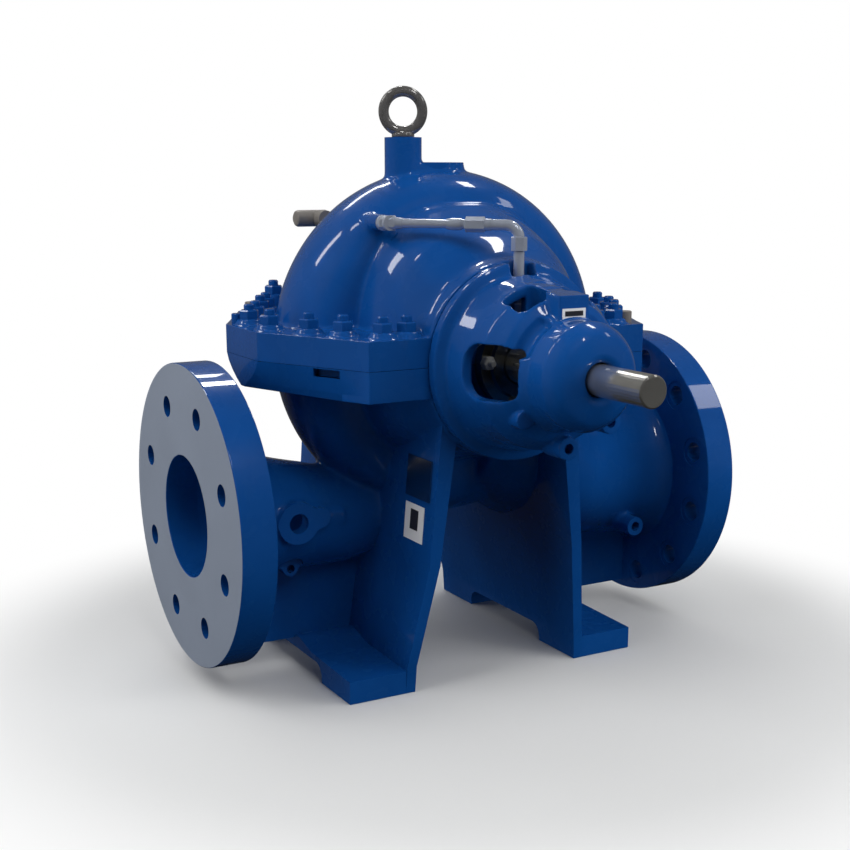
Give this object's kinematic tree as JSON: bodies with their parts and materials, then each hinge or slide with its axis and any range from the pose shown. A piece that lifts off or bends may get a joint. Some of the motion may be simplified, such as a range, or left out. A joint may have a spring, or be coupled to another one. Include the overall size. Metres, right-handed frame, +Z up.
{
  "type": "split case pump",
  "caption": "Horizontal split case pump with side nozzles, end-mounted bearing brackets, seal flush lines, lifting eye and cast feet.",
  "frame": {"origin": "under the middle of the pump's box, on the ground", "axes": "+Z up; +X from the discharge flange to the suction flange; the shaft lies along Y with its coupling end towards -Y"},
  "size_m": [0.599, 0.707, 0.6143],
  "materials": {
    "blue_enamel": "glossy blue enamel over castings",
    "bright_steel": "machined or drawn steel",
    "plate_metal": "bare plate",
    "black_rubber": "matt black",
    "gasket_sheet": "dark gasket sheet"
  },
  "bodies": {
    "casing": {"upper_casing": "blue_enamel", "lower_casing": "blue_enamel", "discharge_nozzle": "blue_enamel", "suction_nozzle": "blue_enamel", "discharge_side_foot": "blue_enamel", "suction_side_foot": "blue_enamel", "drive_bearing_bracket": "blue_enamel", "free_bearing_bracket": "blue_enamel", "drive_bearing_cover": "blue_enamel", "free_bearing_cover": "blue_enamel", "drive_seal_gland": "bright_steel", "free_seal_gland": "bright_steel", "drive_flush_fitting": "bright_steel", "drive_flush_tube": "bright_steel", "drive_flush_union": "bright_steel", "drive_flush_pipe": "bright_steel", "free_flush_fitting": "bright_steel", "free_flush_tube": "bright_steel", "free_flush_union": "bright_steel", "free_flush_pipe": "bright_steel", "eye_bolt": "bright_steel", "nameplate": "plate_metal", "discharge_side_gasket": "gasket_sheet", "suction_side_gasket": "gasket_sheet"},
    "rotor": {"shaft": "bright_steel", "drive_seal_sleeve": "bright_steel", "free_seal_sleeve": "bright_steel", "drive_bearing": "bright_steel", "free_bearing": "bright_steel", "drive_deflector": "black_rubber", "free_deflector": "black_rubber"}
  },
  "joints": [
    {"name": "rotor_spin", "type": "hinge", "parent": "casing", "child": "rotor", "pos_m": [-0.0075, 0.0375, 0.342], "axis": [0, 1, 0], "continuous": true}
  ]
}
